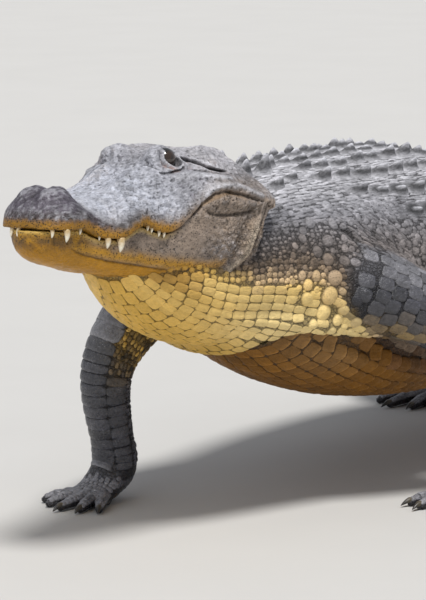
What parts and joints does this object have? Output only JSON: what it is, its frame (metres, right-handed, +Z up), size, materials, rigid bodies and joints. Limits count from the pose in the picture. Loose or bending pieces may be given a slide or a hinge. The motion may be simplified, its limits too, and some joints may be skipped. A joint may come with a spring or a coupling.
{
  "type": "american alligator",
  "caption": "Life-size still figure of an adult american alligator walking high on its legs, mouth shut, tail laid on the floor behind it.",
  "frame": {"origin": "on the floor below the middle of the whole figure's box", "axes": "+Z up; the animal heads towards -X; its left side faces -Y"},
  "size_m": [2.8988, 0.5988, 0.5663],
  "materials": {
    "skin": "scaly hide: slate grey back and limbs with paler dry scale tops, ochre-yellow throat and belly, orange-yellow lips speckled black",
    "scale": "horny scales over the hide, same markings, slightly glossier and worn paler on keels",
    "eye": "wet gloss, dark brown iris with an upright slit pupil",
    "tooth": "ivory, satin, browner at the root",
    "claw": "dark horn, satin"
  },
  "bodies": {
    "root": {"head_upper": "skin", "lower_jaw": "skin", "eye_left": "eye", "eye_right": "eye", "neck": "skin", "trunk": "skin", "tail_base": "skin", "tail_middle": "skin", "tail_rear": "skin", "tail_tip": "skin", "upper_arm_right": "skin", "forearm_right": "skin", "hand_right": "skin", "claw_hand_right_1": "claw", "claw_hand_right_2": "claw", "claw_hand_right_3": "claw", "upper_arm_left": "skin", "forearm_left": "skin", "hand_left": "skin", "claw_hand_left_1": "claw", "claw_hand_left_2": "claw", "claw_hand_left_3": "claw", "thigh_right": "skin", "shank_right": "skin", "foot_right": "skin", "claw_foot_right_1": "claw", "claw_foot_right_2": "claw", "claw_foot_right_3": "claw", "thigh_left": "skin", "shank_left": "skin", "foot_left": "skin", "claw_foot_left_1": "claw", "claw_foot_left_2": "claw", "claw_foot_left_3": "claw"}
  },
  "joints": []
}
